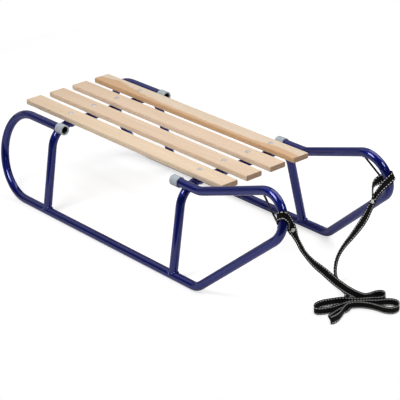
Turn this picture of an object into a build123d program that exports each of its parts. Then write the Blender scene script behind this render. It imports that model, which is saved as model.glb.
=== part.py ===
from build123d import *
import os
from math import cos, pi, radians, sin, sqrt, tan

# A steel tube sled: two bent runners, two arches, four seat slats, end caps and a pulling strap.
# +X points forwards, +Z up, and the origin is on the floor under the middle of the sled.

# Tubes
tube_diameter = 18.0
tube_wall = 1.5
weld_gap = 0.2

# Arches: legs that lean inwards, bent over into a level crossbar
track = 345.5
lean = 11.1
arch_spacing = 432.0
arch_bend = 50.0

# Seat
seat_height = 210.0
slat_count = 4
slat_width = 40.0
slat_side_gap = 15.5
slat_thickness = 12.0
slat_length = 661.0
slat_rear_overhang = 139.5
slat_rounding = 3.0
slat_end_rounding = 1.5

# Runners: a rear loop, a toe, an incline, a horn and a bend back to the level
rear_loop_setback = 82.0
toe_advance = 75.0
toe_bend = 38.0
incline_angle = 38.9
incline_length = 250.0
horn_bend = 49.0
horn_slope = 17.3
kink_bend = 60.0

# Plastic end caps on the four open tube ends
cap_wall = 2.0
cap_length = 22.0
cap_lip = 2.0
cap_hole = 15.6
cap_fit = 0.1
cap_rounding = 0.9
rear_cap_stop = 17.5
front_cap_stop = 6.5

# Wires across the inside of each horn, which keep the strap in place
keeper_diameter = 4.0
keeper_top_angle = 103.0
keeper_low_angle = -8.0
keeper_bury = 7.0

# Pulling strap
webbing_width = 16.0
webbing_thickness = 1.6
strap_tube = 8.0
hank_height = 16.0
loop_tip = 0.4
strap_lead = 8.0
strap_loops = [
    # side, angle round the horn, pull of the loop, reach of its tip, slack, fall of its tab, tab's width, length
    ("right", 15.0, (0.06, 0.95, -0.30), 18.0, 3.2, (0.20, 0.06, -0.98), (0.46, 0.88, 0.0), 24.0),
    ("left", 30.0, (-0.069, -0.403, -0.913), 53.0, 3.9, (-0.069, -0.403, -0.913), (-0.74, -0.594, 0.318), 8.0),
]
strap_routes = {
    "right": [
        (456.5, -106.5, 156.0),
        (459.0, -96.0, 136.0),
        (462.5, -82.5, 114.0),
        (468.5, -60.0, 89.0),
        (474.5, -37.0, 62.0),
        (481.5, -11.5, 36.0),
        (488.5, 14.0, 15.0),
    ],
    "left": [
        (428.5, 96.5, 139.0),
        (419.0, 91.0, 119.0),
        (407.0, 79.0, 94.0),
        (394.5, 65.0, 70.0),
        (387.5, 56.5, 50.0),
        (387.0, 50.0, 32.0),
        (392.0, 44.5, 18.0),
        (402.0, 38.5, 10.5),
        (419.0, 29.5, 7.5),
        (441.0, 19.5, 7.5),
        (465.0, 13.5, 7.5),
        (488.0, 11.5, 7.5),
    ],
}
hank_waist = (496.0, 8.0, 12.0)
hank_lobes = [
    # circles that each lobe's outline goes round: place along X and along Y, radius
    [(463.0, -28.0, 6.0), (457.0, -60.0, 8.0), (467.0, -68.0, 7.0), (480.0, -45.0, 5.0)],
    [(500.0, -45.0, 5.0), (507.5, -74.0, 6.0)],
    [(539.0, 46.0, 6.0), (555.0, 43.0, 10.5), (558.0, 29.0, 8.0)],
    [(501.0, 55.0, 8.0), (512.0, 53.0, 7.5)],
]

# Derived sizes of the arches
tube_radius = tube_diameter / 2
arch_turn = 90 - lean
arch_height = seat_height - slat_thickness - weld_gap - tube_radius
leg_to_corner = (arch_height - tube_radius) / cos(radians(lean))
leg_run = leg_to_corner - arch_bend * tan(radians(arch_turn / 2))
crossbar_run = track - 2 * leg_to_corner * sin(radians(lean)) - 2 * arch_bend * tan(radians(arch_turn / 2))

# The runners' level rails lie against the arches' shoulders, in the plane that the legs lean in
rail_height = leg_run + sqrt((arch_bend + tube_diameter + weld_gap) ** 2 - arch_bend**2)
rail_spread = track - 2 * rail_height * sin(radians(lean))
rear_bend = rail_height / 2

# The slats share the room between the rails evenly
slat_pitch = (rail_spread - tube_diameter - 2 * slat_side_gap - slat_width) / (slat_count - 1)

# Places along the sled, measured from half way between the arches
rear_loop_place = -arch_spacing / 2 - rear_loop_setback
toe_place = arch_spacing / 2 + toe_advance
incline_rise = incline_length * sin(radians(incline_angle))
incline_advance = incline_length * cos(radians(incline_angle))
horn_place = toe_place + incline_advance - horn_bend * sin(radians(incline_angle))
horn_height = incline_rise + horn_bend * cos(radians(incline_angle))
middle = (horn_place + horn_bend + rear_loop_place - rear_bend) / 2

# The same places in the sled's own frame
arch_x = {"rear": -arch_spacing / 2 - middle, "front": arch_spacing / 2 - middle}
rear_loop_x = rear_loop_place - middle
toe_x = toe_place - middle
horn_x = horn_place - middle
cap_x = {"rear": arch_x["rear"] + rear_cap_stop, "front": arch_x["front"] - front_cap_stop}
cap_depth = cap_length - cap_lip
rail_end_x = {"rear": cap_x["rear"] + cap_depth, "front": cap_x["front"] - cap_depth}

# Runs of the runner between its bends
toe_tangent = toe_bend * tan(radians(incline_angle / 2))
kink_tangent = kink_bend * tan(radians(horn_slope / 2))
slope_drop = horn_height + horn_bend * cos(radians(horn_slope)) - rail_height
slope_length = slope_drop / sin(radians(horn_slope))
slope_start_x = horn_x - horn_bend * sin(radians(horn_slope))
kink_x = slope_start_x - slope_length * cos(radians(horn_slope))


def runner_plane(side):
    """The leaning plane of a runner: local x runs forwards, local y up along the lean."""
    up = Vector(0, -side * sin(radians(lean)), cos(radians(lean)))
    forward = Vector(1, 0, 0)
    return Plane((0, side * track / 2, tube_radius), x_dir=forward, z_dir=forward.cross(up))


def heading_vector(heading):
    return Vector(cos(radians(heading)), sin(radians(heading)))


def horn_point(side, angle, radius):
    """A point in a runner's plane, seen from the centre of the horn's bend."""
    local = Vector(horn_x, horn_height) + heading_vector(angle) * radius
    return runner_plane(side).from_local_coords(local)


def loop_outline(spread, reach, slack, grow):
    """Outline of a strap loop that goes round a tube and closes at its tip."""
    with BuildSketch() as outline:
        with Locations((-spread, 0), (spread, 0)):
            Circle(tube_radius + slack + grow)
        with Locations((reach, 0)):
            Circle(loop_tip + grow)
        make_hull()
    return outline.sketch


def bent_path(plane, start, heading, bends, last_run):
    """Straight runs joined by tangent bends, each row a run, a bend radius and a turn in degrees."""
    with BuildLine(plane) as path:
        position = plane.from_local_coords(start)
        direction = plane.from_local_coords(heading_vector(heading)) - plane.origin
        for run, radius, turn in bends:
            straight = Line(position, position + direction * run)
            bend = JernArc(straight @ 1, direction, radius, turn)
            position = bend @ 1
            direction = bend % 1
        Line(position, position + direction * last_run)
    return path.line


def tube_section(path):
    """The tube's ring at the start of its path."""
    with BuildSketch(Plane(path @ 0, z_dir=path % 0)) as ring:
        Circle(tube_radius)
        Circle(tube_radius - tube_wall, mode=Mode.SUBTRACT)
    return ring.sketch


def finish(piece, name):
    piece.part.label = name
    export_step(piece.part, f"parts/{name}.step")


os.makedirs("parts", exist_ok=True)
sides = {"right": -1, "left": 1}

# Runners, from the rear tube end round the loop, along the floor and over the horn
runner_start = (rail_end_x["rear"], rail_height, 0)
front_rail_run = kink_x - kink_tangent - rail_end_x["front"]
runner_bends = [
    # run, bend radius, turn
    (rail_end_x["rear"] - rear_loop_x, rear_bend, 180),
    (toe_x - toe_tangent - rear_loop_x, toe_bend, incline_angle),
    (incline_length - toe_tangent, horn_bend, 180 - incline_angle + horn_slope),
    (slope_length - kink_tangent, kink_bend, -horn_slope),
]
for side_name, side in sides.items():
    runner_path = bent_path(runner_plane(side), runner_start, 180, runner_bends, front_rail_run)
    with BuildPart() as runner:
        sweep(tube_section(runner_path), path=runner_path)
    finish(runner, f"runner_{side_name}")

# Arches, with each foot coped round its runner
arch_bends = [
    # run, bend radius, turn
    (leg_run, arch_bend, -arch_turn),
    (crossbar_run, arch_bend, -arch_turn),
]
for place, x in arch_x.items():
    arch_plane = Plane((x, 0, 0), x_dir=(0, 1, 0), z_dir=(1, 0, 0))
    arch_path = bent_path(arch_plane, (-track / 2, tube_radius, 0), arch_turn, arch_bends, leg_run)
    with BuildPart() as arch:
        sweep(tube_section(arch_path), path=arch_path)
        with Locations((x, -track / 2, tube_radius), (x, track / 2, tube_radius)):
            Cylinder(tube_radius + weld_gap, 3 * tube_diameter, rotation=(0, 90, 0), mode=Mode.SUBTRACT)
    finish(arch, f"arch_{place}")

# Seat slats, side by side across the crossbars
slat_rear_x = arch_x["rear"] - slat_rear_overhang
slat_middle = seat_height - slat_thickness / 2
for number in range(slat_count):
    slat_y = (number - (slat_count - 1) / 2) * slat_pitch
    with BuildPart() as slat:
        with BuildSketch(Plane((slat_rear_x, slat_y, slat_middle), x_dir=(0, 1, 0), z_dir=(1, 0, 0))):
            RectangleRounded(slat_width, slat_thickness, slat_rounding)
        extrude(amount=slat_length)
        slat_ends = slat.faces().sort_by(Axis.X)
        fillet(slat_ends[0].edges() + slat_ends[-1].edges(), slat_end_rounding)
    finish(slat, f"slat_{number + 1}")

# End caps, each a sleeve over the tube with a lip over the tube's end
for side_name, side in sides.items():
    rail = runner_plane(side).from_local_coords((0, rail_height, 0))
    for place, inboard in (("rear", 1), ("front", -1)):
        cap_plane = Plane((cap_x[place], rail.Y, rail.Z), z_dir=(inboard, 0, 0))
        with BuildPart() as cap:
            with BuildSketch(cap_plane):
                Circle(tube_radius + cap_fit + cap_wall)
            extrude(amount=cap_length)
            with BuildSketch(cap_plane):
                Circle(tube_radius + cap_fit)
            extrude(amount=cap_depth, mode=Mode.SUBTRACT)
            with BuildSketch(cap_plane):
                Circle(cap_hole / 2)
            extrude(amount=cap_length, mode=Mode.SUBTRACT)
            cap_end = cap.faces().sort_by(Axis.X)[-1 if inboard > 0 else 0]
            fillet(cap_end.edges(), cap_rounding)
        finish(cap, f"cap_{place}_{side_name}")

# Keeper wires, straight chords with both ends coped against the inside of the horn
for side_name, side in sides.items():
    keeper_from, keeper_to = (
        horn_point(side, angle, horn_bend - tube_radius) for angle in (keeper_top_angle, keeper_low_angle)
    )
    along = (keeper_to - keeper_from).normalized() * keeper_bury
    with BuildPart() as keeper:
        with BuildLine() as chord:
            Line(keeper_from - along, keeper_to + along)
        with BuildSketch(Plane(chord.line @ 0, z_dir=chord.line % 0)):
            Circle(keeper_diameter / 2)
        sweep(path=chord.line)
        with Locations(runner_plane(side) * Location((horn_x, horn_height, 0))):
            Torus(horn_bend, tube_radius + weld_gap, mode=Mode.SUBTRACT)
    finish(keeper, f"keeper_{side_name}")

# Hank of folded webbing that lies on the floor in front, one closed outline of its lobes
with BuildPart() as hank:
    for lobe_circles in hank_lobes:
        with BuildSketch() as lobe:
            for circle_x, circle_y, circle_radius in [hank_waist] + lobe_circles:
                with Locations((circle_x, circle_y)):
                    Circle(circle_radius)
            make_hull()
        extrude(amount=hank_height)
finish(hank, "strap_hank")

# Strap ends, each a riveted loop of webbing round its horn
strap_start = {}
for side_name, horn_angle, pull, reach, slack, fall, across, tab_length in strap_loops:
    side = sides[side_name]
    loop_centre = horn_point(side, horn_angle, horn_bend)
    tube_direction = (horn_point(side, horn_angle + 90, horn_bend) - horn_point(side, 0, 0)).normalized()
    pull_direction = Vector(*pull).normalized()
    fall_direction = Vector(*fall).normalized()
    band_direction = (tube_direction - pull_direction * tube_direction.dot(pull_direction)).normalized()
    slant = radians(band_direction.get_angle(tube_direction))
    spread = tube_radius / cos(slant) + webbing_width / 2 * tan(slant) - tube_radius
    loop_plane = Plane(loop_centre, x_dir=pull_direction, z_dir=band_direction)
    loop_end = loop_centre + pull_direction * reach
    with BuildPart() as loop:
        with BuildSketch(loop_plane):
            add(loop_outline(spread, reach, slack, webbing_thickness))
            add(loop_outline(spread, reach, slack, 0), mode=Mode.SUBTRACT)
        extrude(amount=webbing_width / 2, both=True)
        with BuildSketch(Plane(loop_end, x_dir=Vector(*across), z_dir=fall_direction)):
            Rectangle(webbing_width, 2 * webbing_thickness)
        extrude(amount=tab_length)
    tab_end = loop_end + fall_direction * tab_length
    strap_start[side_name] = [tab_end, tab_end + fall_direction * strap_lead]
    finish(loop, f"strap_loop_{side_name}")

# Free runs of the strap, from each riveted end to the hank, as plain tubes
for side_name, points in strap_routes.items():
    route = strap_start[side_name] + [Vector(*point) for point in points]
    radii = []
    for before, corner, after in zip(route, route[1:], route[2:]):
        turn = radians((corner - before).get_angle(after - corner))
        shorter_run = min((corner - before).length, (after - corner).length)
        radii.append(0.45 * shorter_run / tan(turn / 2))
    print(f"strap_run_{side_name} radii", [round(radius, 1) for radius in radii])
    with BuildPart() as strap_run:
        with BuildLine() as strap_path:
            FilletPolyline(route, radius=radii)
        with BuildSketch(Plane(strap_path.line @ 0, z_dir=strap_path.line % 0)):
            Circle(strap_tube / 2)
        sweep(path=strap_path.line)
        path_length = strap_path.wire().length
        volume_ratio = strap_run.part.volume / (path_length * pi * (strap_tube / 2) ** 2)
        print(f"strap_run_{side_name} length {path_length:.1f} volume ratio {volume_ratio:.4f}")
        add(hank.part, mode=Mode.SUBTRACT)
    finish(strap_run, f"strap_run_{side_name}")
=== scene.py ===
"""Looks of a metal sled: blue tube, beech slats, grey caps and a black webbing strap. Metres, +Z up."""
from math import cos, pi, radians, sin, sqrt

import bpy
from mathutils import Matrix, Vector


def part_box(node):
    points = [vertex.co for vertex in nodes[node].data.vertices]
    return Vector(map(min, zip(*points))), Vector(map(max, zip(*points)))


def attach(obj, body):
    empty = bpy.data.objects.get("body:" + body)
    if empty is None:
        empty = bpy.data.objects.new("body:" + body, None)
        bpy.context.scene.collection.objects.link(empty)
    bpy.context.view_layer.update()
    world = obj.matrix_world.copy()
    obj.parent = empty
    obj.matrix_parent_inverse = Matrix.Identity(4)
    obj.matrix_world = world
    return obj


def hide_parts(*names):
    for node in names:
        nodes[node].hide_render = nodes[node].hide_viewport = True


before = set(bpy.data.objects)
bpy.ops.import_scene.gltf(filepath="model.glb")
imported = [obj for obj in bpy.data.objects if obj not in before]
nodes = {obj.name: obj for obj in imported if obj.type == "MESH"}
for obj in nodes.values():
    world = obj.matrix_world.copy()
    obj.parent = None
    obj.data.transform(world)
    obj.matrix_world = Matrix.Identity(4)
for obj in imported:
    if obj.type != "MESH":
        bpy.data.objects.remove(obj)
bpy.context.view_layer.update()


def middle(node):
    """Centre of a node's box."""
    low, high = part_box(node)
    return (low + high) / 2


# Sizes read from the frame
sides = {"right": -1, "left": 1}
arches = ("arch_rear", "arch_front")
slats = ("slat_1", "slat_2", "slat_3", "slat_4")
arch_low, arch_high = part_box("arch_rear")
tube_radius = (arch_high.x - arch_low.x) / 2
foot_side = -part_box("runner_right")[0].y - tube_radius
seat_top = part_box("slat_1")[1].z
crossbar_axis = arch_high.z - tube_radius

# Sizes of the small pieces
lean = radians(11.1)
arch_bend = 0.050
strap_width = 0.016
strap_thickness = 0.0016
stitch_inset = 0.0023
stitch_pitch = 0.0056
stitch_length = 0.0034
stitch_width = 0.0018
stitch_height = 0.0009
stitch_sides = 6
face_points = 6
cap_lip = 0.002
tube_wall = 0.0015
lining_length = 0.055
lining_gap = 0.00005
lining_skin = 0.00025
rivet_from_end = 0.003
rivet_grip = 1.6 * strap_thickness
weld_radius = 0.0022
weld_ripple = 0.00035
weld_ripple_turn = 2.1
weld_tip = 0.08
keeper_weld = 0.0024
keeper_weld_steps = (0.2, 0.5, 0.8, 1.1, 1.4)


# Node helpers

# Most of a noise's values lie between these
noise_range = (0.3, 0.7)


def new_material(name):
    """A node material with its tree and main shader."""
    material = bpy.data.materials.new(name)
    material.use_nodes = True
    return material, material.node_tree, material.node_tree.nodes["Principled BSDF"]


def add_node(tree, kind, inputs, **settings):
    """A node with its settings, and its inputs set to values or linked to sockets."""
    node = tree.nodes.new(kind)
    for key, value in settings.items():
        setattr(node, key, value)
    for key, value in inputs.items():
        if isinstance(value, bpy.types.NodeSocket):
            tree.links.new(value, node.inputs[key])
        else:
            node.inputs[key].default_value = value
    return node


def stretched(tree, scale, offset=(0, 0, 0), space="Object"):
    """Coordinates in the sled's frame, stretched along each axis."""
    source = tree.nodes.new("ShaderNodeTexCoord").outputs[space]
    mapping = add_node(tree, "ShaderNodeMapping", {"Vector": source, "Scale": scale, "Location": offset})
    return mapping.outputs["Vector"]


def noise(tree, vector, scale=1.0, detail=3.0, roughness=0.55):
    """Noise from 0 to 1."""
    inputs = {"Vector": vector, "Scale": scale, "Detail": detail, "Roughness": roughness}
    return add_node(tree, "ShaderNodeTexNoise", inputs).outputs["Fac"]


def spread(tree, value, low, high, new_low, new_high):
    """A value's range mapped to another, held at its ends."""
    inputs = {"Value": value, "From Min": low, "From Max": high, "To Min": new_low, "To Max": new_high}
    return add_node(tree, "ShaderNodeMapRange", inputs).outputs["Result"]


def vary(tree, value, low, high):
    """A noise mapped to a range."""
    return spread(tree, value, *noise_range, low, high)


def graph(tree, value, stops):
    """A value's level read from stops of (value, level) between 0 and 1."""
    ramp = add_node(tree, "ShaderNodeValToRGB", {0: value})
    points = ramp.color_ramp.elements
    while len(points) < len(stops):
        points.new(1.0)
    for point, (position, level) in zip(points, stops):
        point.position = position
        point.color = (level, level, level, 1)
    return ramp.outputs["Color"]


def combine(tree, operation, first, second=0.0):
    """Arithmetic on two values."""
    return add_node(tree, "ShaderNodeMath", {0: first, 1: second}, operation=operation).outputs[0]


def mix(tree, factor, first, second):
    """Two colours mixed by a factor. The node's colour sockets go by number, since its names repeat."""
    inputs = {0: factor, 6: first, 7: second}
    return add_node(tree, "ShaderNodeMix", inputs, data_type="RGBA").outputs[2]


def bump(tree, shader, height, strength, distance, socket="Normal"):
    """Surface relief on a shader."""
    inputs = {"Height": height, "Strength": strength, "Distance": distance}
    relief = add_node(tree, "ShaderNodeBump", inputs)
    tree.links.new(relief.outputs["Normal"], shader.inputs[socket])


def feed(tree, shader, **sockets):
    """Links to a shader's inputs, by name with underscores."""
    for key, value in sockets.items():
        tree.links.new(value, shader.inputs[key.replace("_", " ")])


# Materials

# Heartwood of one slat: share of its length from the rear, share of its width that is brown
streak_widths = [(0.0, 0.40), (0.08, 0.66), (0.20, 0.46), (0.32, 0.20),
                 (0.55, 0.18), (0.80, 0.20), (0.92, 0.42), (1.0, 0.40)]
streak_colour = (0.70, 0.41, 0.20, 1)
streak_strength = 0.80
streak_blur = 0.0020
streak_drift = 0.003
flank_strength = 0.9
flank_depths = (0.0005, 0.0025)


def blue_enamel():
    """Deep blue metallic enamel under a clear gloss coat with a faint orange peel."""
    material, tree, shader = new_material("blue_enamel")
    place = stretched(tree, (1, 1, 1))
    cloud = noise(tree, place, scale=9.0)
    peel = noise(tree, place, scale=420.0, detail=2.0)
    colour = mix(tree, cloud, (0.0041, 0.0112, 0.178, 1), (0.0060, 0.015, 0.231, 1))
    feed(tree, shader, Base_Color=colour, Roughness=vary(tree, cloud, 0.32, 0.40))
    shader.inputs["Metallic"].default_value = 0.8
    shader.inputs["Specular IOR Level"].default_value = 0.0
    shader.inputs["Specular Tint"].default_value = (0.2, 0.25, 0.6, 1)
    shader.inputs["Coat Weight"].default_value = 1.0
    shader.inputs["Coat Roughness"].default_value = 0.04
    shader.inputs["Coat IOR"].default_value = 1.60
    bump(tree, shader, peel, strength=0.04, distance=0.0003, socket="Coat Normal")
    return material


def heartwood(tree, colour, streak, offset):
    """A wood colour with a brown streak along the near edge of the slat whose box is given."""
    low, high = streak
    position = add_node(tree, "ShaderNodeSeparateXYZ", {0: stretched(tree, (1, 1, 1))})
    along = spread(tree, position.outputs["X"], low.x, high.x, 0, 1)
    width = combine(tree, "MULTIPLY", graph(tree, along, streak_widths), high.y - low.y)
    waver = noise(tree, stretched(tree, (14, 40, 40), offset))
    drift = vary(tree, waver, -streak_drift, streak_drift)
    edge = combine(tree, "ADD", width, combine(tree, "ADD", drift, low.y))
    beyond = combine(tree, "SUBTRACT", position.outputs["Y"], edge)
    band = spread(tree, beyond, -streak_blur, streak_blur, streak_strength, 0)
    full, clear = (low.y + depth for depth in flank_depths)
    flank = spread(tree, position.outputs["Y"], full, clear, flank_strength, 0)
    return mix(tree, combine(tree, "MAXIMUM", band, flank), colour, streak_colour)


def beech(name, pale, dark, seed, streak=None):
    """Pale beech along X, with grain, flecks and end grain, and heartwood in the slat whose box is given."""
    material, tree, shader = new_material(name)
    offset = (seed, 0.37 * seed, 0.71 * seed)
    broad = noise(tree, stretched(tree, (1.6, 22, 22), offset), detail=4.0)
    lines = noise(tree, stretched(tree, (5, 330, 330), offset), detail=4.0, roughness=0.65)
    flecks = noise(tree, stretched(tree, (130, 900, 900), offset), detail=1.0)
    tone = combine(tree, "ADD", combine(tree, "MULTIPLY", broad, 0.6), combine(tree, "MULTIPLY", lines, 0.4))
    colour = mix(tree, spread(tree, tone, 0.39, 0.61, 0, 1), dark, pale)
    if streak:
        colour = heartwood(tree, colour, streak, offset)
    fleck_shade = spread(tree, flecks, 0.64, 0.72, 0, 0.45)
    colour = mix(tree, fleck_shade, colour, (0.42, 0.24, 0.12, 1))
    surface = tree.nodes.new("ShaderNodeNewGeometry")
    normal = add_node(tree, "ShaderNodeSeparateXYZ", {0: surface.outputs["Normal"]})
    end = spread(tree, combine(tree, "ABSOLUTE", normal.outputs["X"]), 0.75, 0.95, 0, 1)
    rings = noise(tree, stretched(tree, (60, 260, 900), offset), detail=2.0)
    end_colour = mix(tree, rings, (0.47, 0.29, 0.175, 1), (0.66, 0.45, 0.29, 1))
    colour = mix(tree, end, colour, end_colour)
    feed(tree, shader, Base_Color=colour, Roughness=vary(tree, lines, 0.42, 0.58))
    bump(tree, shader, lines, strength=0.16, distance=0.0004)
    return material


def grey_plastic():
    """Moulded grey plastic with a fine satin grain."""
    material, tree, shader = new_material("grey_cap_plastic")
    place = stretched(tree, (1, 1, 1))
    cloud = noise(tree, place, scale=35.0)
    grain = noise(tree, place, scale=1400.0, detail=2.0)
    colour = mix(tree, cloud, (0.41, 0.46, 0.49, 1), (0.49, 0.54, 0.57, 1))
    feed(tree, shader, Base_Color=colour, Roughness=vary(tree, grain, 0.38, 0.5))
    bump(tree, shader, grain, strength=0.12, distance=0.0003)
    return material


def keeper_steel():
    """Dark enamelled wire."""
    material, tree, shader = new_material("keeper_enamel")
    place = stretched(tree, (1, 1, 1))
    cloud = noise(tree, place, scale=60.0)
    colour = mix(tree, cloud, (0.004, 0.005, 0.022, 1), (0.010, 0.011, 0.035, 1))
    feed(tree, shader, Base_Color=colour, Roughness=vary(tree, cloud, 0.2, 0.32))
    bump(tree, shader, noise(tree, place, scale=700.0), strength=0.1, distance=0.0003)
    return material


def webbing():
    """Black woven webbing: ribs across the strap and yarns along it, in the ribbon's own coordinates."""
    material, tree, shader = new_material("black_webbing")
    place = stretched(tree, (1, 1, 1), space="UV")
    ribs = add_node(tree, "ShaderNodeTexWave", {"Vector": place, "Scale": 330.0, "Distortion": 0.4})
    yarns = add_node(tree, "ShaderNodeTexWave", {"Vector": place, "Scale": 300.0, "Distortion": 0.5},
                     bands_direction="Y")
    weave = combine(tree, "MULTIPLY", ribs.outputs["Fac"], yarns.outputs["Fac"])
    fuzz = noise(tree, stretched(tree, (900, 900, 900)), detail=2.0)
    height = combine(tree, "ADD", weave, combine(tree, "MULTIPLY", fuzz, 0.4))
    shade = spread(tree, height, 0.1, 1.1, 0, 1)
    colour = mix(tree, shade, (0.003, 0.003, 0.003, 1), (0.013, 0.0125, 0.0115, 1))
    feed(tree, shader, Base_Color=colour, Roughness=vary(tree, fuzz, 0.62, 0.8))
    shader.inputs["Specular IOR Level"].default_value = 0.12
    bump(tree, shader, height, strength=0.45, distance=0.0004)
    return material


def thread():
    """Off-white sewing thread with its twist."""
    material, tree, shader = new_material("white_thread")
    inputs = {"Vector": stretched(tree, (1, 1, 1)), "Scale": 420.0, "Distortion": 1.0}
    twist = add_node(tree, "ShaderNodeTexWave", inputs)
    fuzz = noise(tree, stretched(tree, (1500, 1500, 1500)))
    colour = mix(tree, fuzz, (0.86, 0.85, 0.83, 1), (0.97, 0.96, 0.95, 1))
    feed(tree, shader, Base_Color=colour, Roughness=vary(tree, fuzz, 0.6, 0.75))
    bump(tree, shader, twist.outputs["Fac"], strength=0.4, distance=0.0002)
    return material


def plated(name, dark, pale, low, high, metallic=1.0):
    """Plated metal with fine scuffs. Where it is less than wholly metallic, its pale colour is partly diffuse:
    a painted reflection of the bright surroundings.
    """
    material, tree, shader = new_material(name)
    cloud = noise(tree, stretched(tree, (1, 1, 1)), scale=300.0)
    scuffs = noise(tree, stretched(tree, (2200, 700, 700)))
    colour = mix(tree, cloud, dark, pale)
    feed(tree, shader, Base_Color=colour, Roughness=vary(tree, scuffs, low, high))
    shader.inputs["Metallic"].default_value = metallic
    bump(tree, shader, scuffs, strength=0.08, distance=0.0002)
    return material


blue = blue_enamel()
plastic = grey_plastic()
wire = keeper_steel()
strap_cloth = webbing()
strap_thread = thread()
# Zinc and rivets are partly diffuse with pale colours, a painted reflection of the white surroundings that
# their metal would mirror
zinc = plated("zinc", (0.52, 0.53, 0.55, 1), (0.76, 0.76, 0.78, 1), low=0.36, high=0.48, metallic=0.6)
rivet_metal = plated("rivet_metal", (0.84, 0.81, 0.76, 1), (0.97, 0.95, 0.91, 1), low=0.42, high=0.55,
                     metallic=0.3)
# Near-black steel: painted shade, standing in for the dark inside of the tubes
bore_shade_steel = plated("bore_shade_steel", (0.020, 0.020, 0.022, 1), (0.045, 0.043, 0.042, 1), low=0.55, high=0.75)

# Wood of each slat: pale tone, dark tone, seed
slat_tones = {
    "slat_1": ((0.90, 0.72, 0.53, 1), (0.79, 0.60, 0.42, 1), 1.7),
    "slat_2": ((0.89, 0.70, 0.52, 1), (0.77, 0.57, 0.40, 1), 4.1),
    "slat_3": ((0.90, 0.70, 0.52, 1), (0.78, 0.58, 0.41, 1), 7.9),
    "slat_4": ((0.90, 0.74, 0.58, 1), (0.79, 0.62, 0.45, 1), 12.3),
}


def dress(node, material):
    """A CAD node in one material."""
    nodes[node].data.materials.clear()
    nodes[node].data.materials.append(material)


for slat, (pale, dark, seed) in slat_tones.items():
    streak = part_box(slat) if slat == "slat_4" else None
    dress(slat, beech("beech_" + slat, pale, dark, seed, streak))
for arch in arches:
    dress(arch, blue)
for side in sides:
    dress("runner_" + side, blue)
    dress("keeper_" + side, wire)
    dress("cap_rear_" + side, plastic)
    dress("cap_front_" + side, plastic)


# Mesh helpers


class Shape:
    """Points and faces of one piece, gathered part by part."""

    def __init__(self):
        self.points = []
        self.faces = []

    def add(self, points, faces):
        start = len(self.points)
        self.points.extend(points)
        self.faces.extend([tuple(start + i for i in face) for face in faces])

    def rings(self, rings, closed=False):
        """Rings of equal count joined one to the next, with end caps unless the row of rings closes."""
        count = len(rings[0])
        total = len(rings)
        faces = []
        for i in range(total if closed else total - 1):
            here = i * count
            there = (i + 1) % total * count
            for j in range(count):
                k = (j + 1) % count
                faces.append((here + j, here + k, there + k, there + j))
        if not closed:
            faces.append(tuple(reversed(range(count))))
            faces.append(tuple(range((total - 1) * count, total * count)))
        self.add([point for ring in rings for point in ring], faces)

    def piece(self, name, material, slot=None):
        """The finished object, riding on the sled."""
        mesh = bpy.data.meshes.new(name)
        mesh.from_pydata(self.points, [], self.faces)
        mesh.update()
        for polygon in mesh.polygons:
            polygon.use_smooth = len(polygon.vertices) == 4
        mesh.materials.append(material)
        piece = bpy.data.objects.new(name, mesh)
        bpy.context.scene.collection.objects.link(piece)
        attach(piece, "root")
        return piece


def cross_axes(axis):
    """Two directions square to an axis."""
    axis = Vector(axis).normalized()
    first = axis.orthogonal().normalized()
    return first, axis.cross(first)


def lathe(shape, profile, base, axis, count=28, closed=False):
    """A turned form: profile of (radius, height) from its top to its underside, about an axis."""
    axis = Vector(axis).normalized()
    first, second = cross_axes(axis)
    rings = []
    for radius, height in profile:
        ring = []
        for i in range(count):
            angle = 2 * pi * i / count
            ring.append(base + axis * height + (first * cos(angle) + second * sin(angle)) * radius)
        rings.append(ring)
    shape.rings(rings[::-1], closed)


def bead(shape, places, radius, closed, count=10):
    """A round bead along places, rippled as a weld is."""
    rings = []
    last = len(places) - 1
    for i, place in enumerate(places):
        before = places[i - 1] if i > 0 or closed else place
        after = places[(i + 1) % len(places)] if i < last or closed else place
        first, second = cross_axes(after - before)
        size = radius + weld_ripple * sin(weld_ripple_turn * i)
        if not closed:
            size *= sqrt(max(weld_tip, 1 - (2 * i / last - 1) ** 4))
        ring = []
        for j in range(count):
            angle = 2 * pi * j / count
            ring.append(place + (first * cos(angle) + second * sin(angle)) * size)
        rings.append(ring)
    shape.rings(rings, closed)


# Pulling strap: each row is a place on its middle line and the direction of its width

near_joint = ((0.4541, -0.1190, 0.1895), (0.42, 0.82, 0.39))
far_joint = ((0.4372, 0.1050, 0.1685), (0.97, -0.17, 0.20))

near_strand = [
    near_joint,
    ((0.4550, -0.1104, 0.1691), (-0.51, 0.81, 0.29)),
    ((0.4570, -0.1028, 0.1497), (-0.44, 0.84, 0.32)),
    ((0.4597, -0.0929, 0.1299), (-0.61, 0.71, 0.34)),
    ((0.4640, -0.0765, 0.1070), (-0.47, 0.73, 0.50)),
    ((0.4690, -0.0581, 0.0880), (-0.12, 0.76, 0.64)),
    ((0.4748, -0.0364, 0.0620), (0.10, 0.73, 0.67)),
    ((0.4787, -0.0216, 0.0466), (0.10, 0.70, 0.71)),
    ((0.4826, -0.0070, 0.0326), (0.00, 0.65, 0.76)),
    ((0.4873, 0.0105, 0.0190), (0.00, 0.45, 0.90)),
    ((0.4910, 0.0240, 0.0110), (0.00, 0.15, 1.00)),
    ((0.4932, 0.0370, 0.0088), (0.00, 0.00, 1.00)),
]
standing = (0.0, 0.0, 1.0)
leaning_back = (-0.25, 0.20, 0.95)
small_fold = [
    ((0.4935, 0.0510, 0.0086), standing),
    ((0.5000, 0.0625, 0.0086), standing),
    ((0.5100, 0.0625, 0.0086), standing),
    ((0.5185, 0.0540, 0.0086), standing),
    ((0.5180, 0.0420, 0.0086), standing),
    ((0.5095, 0.0330, 0.0086), standing),
    ((0.5010, 0.0220, 0.0086), standing),
    ((0.4930, 0.0095, 0.0088), standing),
    ((0.4850, 0.0000, 0.0092), standing),
]
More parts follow.
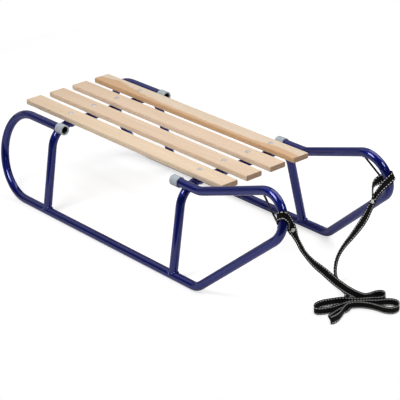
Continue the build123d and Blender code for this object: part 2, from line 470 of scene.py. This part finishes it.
left_fold = [
    ((0.4770, -0.0065, 0.0100), standing),
    ((0.4695, -0.0140, 0.0100), standing),
    ((0.4625, -0.0230, 0.0090), standing),
    ((0.4565, -0.0330, 0.0086), standing),
    ((0.4515, -0.0440, 0.0086), standing),
    ((0.4495, -0.0560, 0.0086), standing),
    ((0.4520, -0.0670, 0.0086), standing),
    ((0.4590, -0.0740, 0.0086), standing),
    ((0.4675, -0.0745, 0.0086), standing),
    ((0.4745, -0.0660, 0.0086), standing),
    ((0.4800, -0.0550, 0.0086), standing),
    ((0.4838, -0.0425, 0.0086), standing),
    ((0.4862, -0.0290, 0.0092), standing),
    ((0.4885, -0.0160, 0.0100), standing),
]
right_fold = [
    ((0.4935, -0.0035, 0.0098), standing),
    ((0.5010, 0.0075, 0.0088), standing),
    ((0.5090, 0.0170, 0.0086), standing),
    ((0.5160, 0.0240, 0.0086), standing),
    ((0.5230, 0.0315, 0.0086), standing),
    ((0.5290, 0.0410, 0.0086), standing),
    ((0.5360, 0.0495, 0.0086), standing),
    ((0.5450, 0.0545, 0.0086), standing),
    ((0.5550, 0.0535, 0.0086), standing),
    ((0.5625, 0.0465, 0.0086), standing),
    ((0.5655, 0.0360, 0.0086), standing),
    ((0.5630, 0.0260, 0.0086), standing),
    ((0.5520, 0.0190, 0.0086), standing),
    ((0.5400, 0.0170, 0.0086), standing),
    ((0.5280, 0.0148, 0.0086), standing),
    ((0.5170, 0.0105, 0.0086), standing),
    ((0.5070, 0.0045, 0.0086), standing),
    ((0.4995, -0.0025, 0.0086), standing),
]
tail_fold = [
    ((0.4940, -0.0110, 0.0086), standing),
    ((0.4920, -0.0200, 0.0086), standing),
    ((0.4960, -0.0320, 0.0084), leaning_back),
    ((0.5034, -0.0452, 0.0084), leaning_back),
    ((0.5095, -0.0580, 0.0084), leaning_back),
    ((0.5120, -0.0710, 0.0082), (-0.45, 0.10, 0.85)),
    ((0.5105, -0.0795, 0.0080), (-0.60, -0.06, 0.79)),
    ((0.5055, -0.0780, 0.0080), (-0.60, -0.06, 0.79)),
    ((0.5021, -0.0688, 0.0084), (-0.40, 0.10, 0.90)),
    ((0.4980, -0.0530, 0.0084), leaning_back),
    ((0.4969, -0.0370, 0.0082), leaning_back),
    ((0.4940, -0.0260, 0.0068), (-0.50, -0.50, 0.70)),
    ((0.4890, -0.0170, 0.0032), (-0.70, -0.70, 0.20)),
    ((0.4800, -0.0060, 0.0015), (-0.72, -0.69, 0.02)),
    ((0.4700, 0.0040, 0.0018), (-0.70, -0.71, 0.02)),
    ((0.4610, 0.0120, 0.0050), (-0.50, -0.70, 0.45)),
    ((0.4520, 0.0170, 0.0082), (-0.15, -0.30, 0.90)),
]
far_strand = [
    ((0.4410, 0.0205, 0.0084), (0.00, 0.00, 1.00)),
    ((0.4190, 0.0295, 0.0086), (0.25, 0.00, 0.97)),
    ((0.4020, 0.0385, 0.0105), (0.60, -0.20, 0.77)),
    ((0.3920, 0.0445, 0.0180), (0.80, -0.30, 0.50)),
    ((0.3870, 0.0500, 0.0320), (0.89, -0.31, 0.33)),
    ((0.3875, 0.0565, 0.0500), (0.90, -0.35, 0.27)),
    ((0.3945, 0.0650, 0.0700), (0.93, -0.34, 0.17)),
    ((0.4070, 0.0790, 0.0940), (0.98, -0.20, -0.08)),
    ((0.4190, 0.0910, 0.1190), (0.95, 0.05, -0.28)),
    ((0.4285, 0.0965, 0.1390), (0.96, -0.05, -0.10)),
    far_joint,
]
strap_rows = near_strand + small_fold + left_fold + right_fold + tail_fold + far_strand

near_loop_rows = [
    near_joint,
    ((0.4538, -0.1198, 0.1948), (0.30, 0.84, 0.46)),
    ((0.4546, -0.1226, 0.2022), (-0.07, 0.78, 0.62)),
    ((0.4563, -0.1266, 0.2086), (-0.26, 0.41, 0.87)),
    ((0.4569, -0.1311, 0.2169), (-0.21, 0.19, 0.96)),
    ((0.4546, -0.1366, 0.2227), (-0.21, 0.19, 0.96)),
    ((0.4497, -0.1412, 0.2224), (-0.21, 0.19, 0.96)),
    ((0.4431, -0.1428, 0.2188), (-0.21, 0.19, 0.96)),
    ((0.4386, -0.1411, 0.2130), (-0.21, 0.19, 0.96)),
    ((0.4365, -0.1367, 0.2060), (-0.21, 0.19, 0.96)),
    ((0.4378, -0.1310, 0.2004), (-0.21, 0.19, 0.96)),
    ((0.4420, -0.1258, 0.1965), (-0.08, 0.34, 0.94)),
    ((0.4475, -0.1215, 0.1933), (0.18, 0.60, 0.78)),
    ((0.4520, -0.1171, 0.1864), (0.42, 0.82, 0.39)),
    ((0.4524, -0.1140, 0.1790), (0.42, 0.82, 0.39)),
]
far_loop_rows = [
    far_joint,
    ((0.4395, 0.1084, 0.1779), (0.96, -0.20, 0.15)),
    ((0.4431, 0.1124, 0.1860), (0.97, -0.15, 0.00)),
    ((0.4484, 0.1172, 0.1955), (0.95, -0.10, -0.25)),
    ((0.4542, 0.1226, 0.2051), (0.80, 0.10, -0.60)),
    ((0.4590, 0.1316, 0.2139), (0.42, 0.20, -0.88)),
    ((0.4565, 0.1406, 0.2160), (0.34, 0.18, -0.92)),
    ((0.4470, 0.1440, 0.2135), (0.34, 0.18, -0.92)),
    ((0.4380, 0.1390, 0.2083), (0.42, 0.12, -0.89)),
    ((0.4317, 0.1322, 0.2039), (0.56, 0.11, -0.82)),
    ((0.4268, 0.1259, 0.1989), (0.65, -0.10, -0.70)),
    ((0.4249, 0.1194, 0.1931), (0.74, -0.40, -0.20)),
    ((0.4256, 0.1141, 0.1871), (0.74, -0.59, 0.32)),
    ((0.4288, 0.1101, 0.1798), (0.74, -0.59, 0.32)),
    ((0.4330, 0.1078, 0.1731), (0.85, -0.40, 0.25)),
    ((0.4358, 0.1062, 0.1655), (0.97, -0.17, 0.20)),
    ((0.4336, 0.1038, 0.1586), (0.97, -0.17, 0.20)),
]
width_guide = 0.02
spline_steps = 8


def spline_points(places):
    """Points along a smooth spline whose control points are the places."""
    curve = bpy.data.curves.new("route", "CURVE")
    curve.dimensions = "3D"
    curve.resolution_u = spline_steps
    spline = curve.splines.new("NURBS")
    spline.points.add(len(places) - 1)
    for point, place in zip(spline.points, places):
        point.co = (*place, 1)
    spline.order_u = 3
    spline.use_endpoint_u = True
    holder = bpy.data.objects.new("route", curve)
    mesh = bpy.data.meshes.new_from_object(holder)
    points = [vertex.co.copy() for vertex in mesh.vertices]
    bpy.data.objects.remove(holder)
    bpy.data.curves.remove(curve)
    bpy.data.meshes.remove(mesh)
    return points


class Ribbon:
    """A flat strap along rows of places and width directions."""

    def __init__(self, rows):
        line = spline_points([place for place, width in rows])
        reach = [Vector(width).normalized() * width_guide for place, width in rows]
        guides = spline_points([Vector(row[0]) + step for row, step in zip(rows, reach)])
        apart = [i == 0 or (place - line[i - 1]).length > 1e-5 for i, place in enumerate(line)]
        self.line = [place for place, keep in zip(line, apart) if keep]
        guides = [guide for guide, keep in zip(guides, apart) if keep]
        last = len(self.line) - 1
        self.travel = [0.0]
        self.frames = []
        for i, place in enumerate(self.line):
            ahead = (self.line[min(i + 1, last)] - self.line[max(i - 1, 0)]).normalized()
            across = guides[i] - place
            across = (across - ahead * across.dot(ahead)).normalized()
            self.frames.append((place, ahead, across, ahead.cross(across)))
            if i > 0:
                self.travel.append(self.travel[-1] + (place - self.line[i - 1]).length)
        self.length = self.travel[-1]

    def at(self, distance):
        """Place, forward, width and face directions at a distance along the strap."""
        i = 1
        while i < len(self.travel) - 1 and self.travel[i] < distance:
            i += 1
        share = (distance - self.travel[i - 1]) / (self.travel[i] - self.travel[i - 1])
        return [a.lerp(b, share) for a, b in zip(self.frames[i - 1], self.frames[i])]

    def section(self):
        """Places round the strap's section: (across, out)."""
        half = strap_width / 2 - strap_thickness / 2
        out = strap_thickness / 2
        face = [(half * (2 * i / (face_points - 1) - 1), -out) for i in range(face_points)]
        edge = [(half + out * sin(radians(a)), -out * cos(radians(a))) for a in (45, 90, 135)]
        near = face + edge
        return near + [(-across, -up) for across, up in near]

    def piece(self, name):
        """The strap's mesh, with coordinates along and across it in metres."""
        section = self.section()
        shape = Shape()
        shape.rings([[p + across * a + face * o for a, o in section] for p, ahead, across, face in self.frames])
        piece = shape.piece(name, strap_cloth, "webbing")
        layer = piece.data.uv_layers.new(name="strap")
        count = len(section)
        for loop in piece.data.loops:
            ring, j = divmod(loop.vertex_index, count)
            layer.data[loop.index].uv = (self.travel[ring], section[j][0])
        return piece

    def stitches(self, shape):
        """Raised stitches along both edges of both faces."""
        count = int(self.length / stitch_pitch)
        start = (self.length - (count - 1) * stitch_pitch) / 2
        swell = ((-0.5, 0.25), (-0.3, 0.9), (0.3, 0.9), (0.5, 0.25))
        for i in range(count):
            stations = [(self.at(start + i * stitch_pitch + stitch_length * t), size) for t, size in swell]
            for edge in (-1, 1):
                for side in (-1, 1):
                    rings = []
                    for (place, ahead, across, face), size in stations:
                        centre = place + across * edge * (strap_width / 2 - stitch_inset)
                        centre += face * side * strap_thickness / 2
                        ring = []
                        for k in range(stitch_sides):
                            angle = 2 * pi * k / stitch_sides
                            wide = across * cos(angle) * stitch_width / 2
                            ring.append(centre + (wide + face * sin(angle) * stitch_height / 2) * size)
                        rings.append(ring)
                    shape.rings(rings)


strap = Ribbon(strap_rows)
near_loop = Ribbon(near_loop_rows)
far_loop = Ribbon(far_loop_rows)
pull_strap = strap.piece("pull_strap")
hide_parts("strap_run_right", "strap_run_left", "strap_hank")
loop_right = near_loop.piece("strap_band_right")
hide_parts("strap_loop_right")
loop_left = far_loop.piece("strap_band_left")
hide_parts("strap_loop_left")

stitching_shape = Shape()
for ribbon in (strap, near_loop, far_loop):
    ribbon.stitches(stitching_shape)
stitching = stitching_shape.piece("strap_stitching", strap_thread, "webbing")

# Tubular rivets through the strap: head with a dimple on the outer face, plain disc behind
rivet_head = [(0.0002, 0.0004), (0.0011, 0.0004), (0.0017, 0.0010), (0.0027, 0.0014), (0.0036, 0.0011),
              (0.0041, 0.0004), (0.0041, -0.0003), (0.0002, -0.0003)]
rivet_back = [(0.0002, 0.0008), (0.0020, 0.0008), (0.0032, 0.0005), (0.0035, 0.0), (0.0035, -0.0003),
              (0.0002, -0.0003)]
rivet_shape = Shape()
# The heads are on the side that the photograph shows
view_side = Vector((0.716, -0.565, 0.410))
for distance in (rivet_from_end, strap.length - rivet_from_end):
    place, ahead, across, face = strap.at(distance)
    face = face.normalized() * (1 if face.dot(view_side) > 0 else -1)
    lathe(rivet_shape, rivet_head, place + face * strap_thickness / 2, face)
    lathe(rivet_shape, rivet_back, place - face * rivet_grip, -face)
rivets = rivet_shape.piece("strap_rivets", rivet_metal)

# Slat bolts: a domed head with a dimple on each slat over each crossbar, and a low formed end under it
bolt_head = [(0.0002, 0.0013), (0.0012, 0.0013), (0.0016, 0.0022), (0.0030, 0.0021), (0.0044, 0.0015),
             (0.0053, 0.0005), (0.0054, 0.0), (0.0054, -0.0003), (0.0002, -0.0003)]
formed_end = [(0.0002, 0.0012), (0.0028, 0.0011), (0.0040, 0.0006), (0.0044, 0.0), (0.0044, -0.0012),
              (0.0002, -0.0012)]
bolt_shape = Shape()
for arch in arches:
    for slat in slats:
        top = Vector((middle(arch).x, middle(slat).y, seat_top))
        under = Vector((top.x, top.y, crossbar_axis - tube_radius))
        lathe(bolt_shape, bolt_head, top, (0, 0, 1))
        lathe(bolt_shape, formed_end, under, (0, 0, -1))
bolt_shape.piece("slat_bolts", zinc)

# A near-black steel sleeve inside each open tube end: painted shade for the unlit bore
lining_shape = Shape()
lining_outer = tube_radius - tube_wall - lining_gap
lining_inner = lining_outer - lining_skin
lining = [(lining_inner, 0.0), (lining_outer, 0.0), (lining_outer, -lining_length),
          (lining_inner, -lining_length)]
for side in sides:
    for place, inboard in (("rear", 1), ("front", -1)):
        low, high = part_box("cap_" + place + "_" + side)
        mouth = middle("cap_" + place + "_" + side)
        mouth.x = (high.x if inboard > 0 else low.x) - inboard * cap_lip
        lathe(lining_shape, lining, mouth, (inboard, 0, 0), closed=True)
lining_shape.piece("shaded_bore_linings", bore_shade_steel)

# Weld beads: round each leg's foot on its runner, each rail's seat on an arch, and the keeper wires' ends
weld_shape = Shape()
foot_steps = 72
seat_steps = 40
foot_weld = 1.03 * tube_radius
foot_saddle = 0.97
seat_weld = 0.0060
seat_weld_radius = 0.8 * weld_radius
seat_gap = 0.0012
shoulder_low = crossbar_axis - arch_bend
for side, sign in sides.items():
    rail = middle("cap_rear_" + side)
    drop = rail.z - shoulder_low
    reach = sqrt((arch_bend + 2 * tube_radius) ** 2 - drop**2)
    out = Vector((0, sign * reach, drop)).normalized()
    down = Vector((0, out.z, -out.y))
    for arch in arches:
        x = middle(arch).x
        foot = Vector((x, sign * foot_side, tube_radius))
        leg = Vector((0, -sign * sin(lean), cos(lean)))
        over = Vector((0, cos(lean), sign * sin(lean)))
        ring = []
        for i in range(foot_steps):
            angle = 2 * pi * i / foot_steps
            rise = tube_radius * sqrt(1 - foot_saddle * sin(angle) ** 2)
            aside = Vector((1, 0, 0)) * cos(angle) + over * sin(angle)
            ring.append(foot + aside * foot_weld + leg * rise)
        bead(weld_shape, ring, weld_radius, True)
        seat = Vector((x, rail.y, rail.z)) - out * tube_radius
        ring = []
        for i in range(seat_steps):
            angle = 2 * pi * i / seat_steps
            aside = Vector((1, 0, 0)) * cos(angle) + down * sin(angle)
            ring.append(seat + aside * seat_weld - out * seat_gap * cos(2 * angle))
        bead(weld_shape, ring, seat_weld_radius, True)
    low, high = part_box("keeper_" + side)
    inner, outer = (high.y, low.y) if sign < 0 else (low.y, high.y)
    wire_top = Vector((low.x, inner, high.z))
    wire_foot = Vector((high.x, outer, low.z))
    chord = (wire_foot - wire_top).normalized()
    for end, inward in ((wire_top, chord), (wire_foot, -chord)):
        places = [end + inward * keeper_weld * step for step in keeper_weld_steps]
        bead(weld_shape, places, keeper_weld, False)
weld_shape.piece("weld_beads", blue, "blue_paint")

# Floor: white, and it keeps the shadow
floor_radius = 1.05
floor_points = 96
floor_centre = Vector((-0.28, 0.22, -0.0004))
floor_lift = 0.64
floor_mirror_lift = 0.10
floor_angles = [2 * pi * i / floor_points for i in range(floor_points)]
floor_rim = [floor_centre + Vector((cos(angle), sin(angle), 0)) * floor_radius for angle in floor_angles]
floor_mesh = bpy.data.meshes.new("floor")
floor_mesh.from_pydata(floor_rim, [], [tuple(range(floor_points))])
floor = bpy.data.objects.new("floor", floor_mesh)
bpy.context.scene.collection.objects.link(floor)


def white_floor():
    """Matt white, lifted to full white for the eye and less in reflections."""
    material, tree, shader = new_material("white_floor")
    shader.inputs["Base Color"].default_value = (0.58, 0.58, 0.58, 1)
    shader.inputs["Roughness"].default_value = 1.0
    shader.inputs["Specular IOR Level"].default_value = 0.0
    shader.inputs["Emission Color"].default_value = (1, 1, 1, 1)
    rays = tree.nodes.new("ShaderNodeLightPath")
    seen = combine(tree, "MAXIMUM", rays.outputs["Is Camera Ray"], rays.outputs["Is Transmission Ray"])
    lift = combine(tree, "MULTIPLY", seen, floor_lift)
    mirrored = combine(tree, "MULTIPLY", rays.outputs["Is Glossy Ray"], floor_mirror_lift)
    feed(tree, shader, Emission_Strength=combine(tree, "MAXIMUM", lift, mirrored))
    return material


floor_mesh.materials.append(white_floor())

# World: white to the eye, soft light on the object, and dim in reflections, with a bright wall behind the sled
world_light = 0.18
mirror_dim = 0.04
mirror_side = 0.35
wall_heading = Vector((-0.996, 0.087, 0.0))
wall_spread = (0.70, 0.94)
side_heading = Vector((-0.616, -0.788, 0.0))
side_spread = (0.80, 0.95)
side_top = 0.14
# Sine of the height above the floor, level there
wall_levels = [(0.03, 0.06), (0.08, 0.62), (0.23, 0.62), (0.27, 0.10), (0.32, 0.10), (0.38, 0.33), (0.60, 0.60)]
world = bpy.data.worlds.new("studio")
bpy.context.scene.world = world
world.use_nodes = True
sky = world.node_tree
sky.nodes.clear()
rays = sky.nodes.new("ShaderNodeLightPath")
heading = sky.nodes.new("ShaderNodeTexCoord").outputs["Generated"]
rise = add_node(sky, "ShaderNodeSeparateXYZ", {0: heading}).outputs["Z"]
flat = add_node(sky, "ShaderNodeVectorMath", {0: heading, 1: (1, 1, 0)}, operation="MULTIPLY").outputs[0]
flat = add_node(sky, "ShaderNodeVectorMath", {0: flat}, operation="NORMALIZE").outputs[0]


def toward(direction, low, high):
    """1 round a level direction, falling to 0 away from it."""
    along = add_node(sky, "ShaderNodeVectorMath", {0: flat, 1: direction}, operation="DOT_PRODUCT")
    return spread(sky, along.outputs["Value"], low, high, 0, 1)


wall = combine(sky, "MULTIPLY", toward(wall_heading, *wall_spread), graph(sky, rise, wall_levels))
side_level = spread(sky, rise, 0.0, side_top, mirror_side, 0)
glow = combine(sky, "MULTIPLY", toward(side_heading, *side_spread), side_level)
around = combine(sky, "ADD", mirror_dim, combine(sky, "ADD", wall, glow))
soft = add_node(sky, "ShaderNodeBackground", {"Color": (1, 1, 1, 1), "Strength": world_light})
mirror = add_node(sky, "ShaderNodeBackground", {"Color": (1, 1, 1, 1), "Strength": around})
white = add_node(sky, "ShaderNodeBackground", {"Color": (1, 1, 1, 1), "Strength": 1.0})
mirrored = rays.outputs["Is Glossy Ray"]
lit = add_node(sky, "ShaderNodeMixShader", {0: mirrored, 1: soft.outputs[0], 2: mirror.outputs[0]})
seen = combine(sky, "MAXIMUM", rays.outputs["Is Camera Ray"], rays.outputs["Is Transmission Ray"])
shown = add_node(sky, "ShaderNodeMixShader", {0: seen, 1: lit.outputs[0], 2: white.outputs[0]})
add_node(sky, "ShaderNodeOutputWorld", {"Surface": shown.outputs[0]})

# Soft boxes: place, width, height, watts
soft_boxes = {
    "back_box": ((0.10, 1.75, 2.45), 2.6, 2.6, 40),
    "left_box": ((0.02, -0.97, 1.28), 0.66, 0.66, 12),
    "front_box": ((2.15, 0.45, 2.00), 0.70, 0.70, 16),
    "glint": ((2.76, -1.41, 1.13), 0.3, 0.3, 1.2),
}
aim = Vector((0, 0, 0.12))
for name, (place, width, height, watts) in soft_boxes.items():
    data = bpy.data.lights.new(name, "AREA")
    data.shape = "RECTANGLE"
    data.size = width
    data.size_y = height
    data.energy = watts
    lamp = bpy.data.objects.new(name, data)
    turn = (aim - Vector(place)).to_track_quat("-Z", "Y").to_matrix().to_4x4()
    lamp.matrix_world = Matrix.Translation(place) @ turn
    bpy.context.scene.collection.objects.link(lamp)

# Camera at the photograph's view
camera_place = Vector((2.50635, -1.94760, 1.49075))
yaw, pitch, roll = -0.902620, 0.422853, -0.051275
forward = Vector((sin(yaw) * cos(pitch), cos(yaw) * cos(pitch), -sin(pitch)))
level = forward.cross(Vector((0, 0, 1))).normalized()
upright = level.cross(forward)
right = level * cos(roll) + upright * sin(roll)
up = upright * cos(roll) - level * sin(roll)
lens = bpy.data.cameras.new("view")
lens.lens = 150.90
lens.sensor_width = 36.0
camera = bpy.data.objects.new("view", lens)
turn = Matrix((right, up, -forward)).transposed().to_4x4()
camera.matrix_world = Matrix.Translation(camera_place) @ turn
bpy.context.scene.collection.objects.link(camera)
bpy.context.scene.camera = camera
bpy.context.scene.view_settings.view_transform = "Standard"
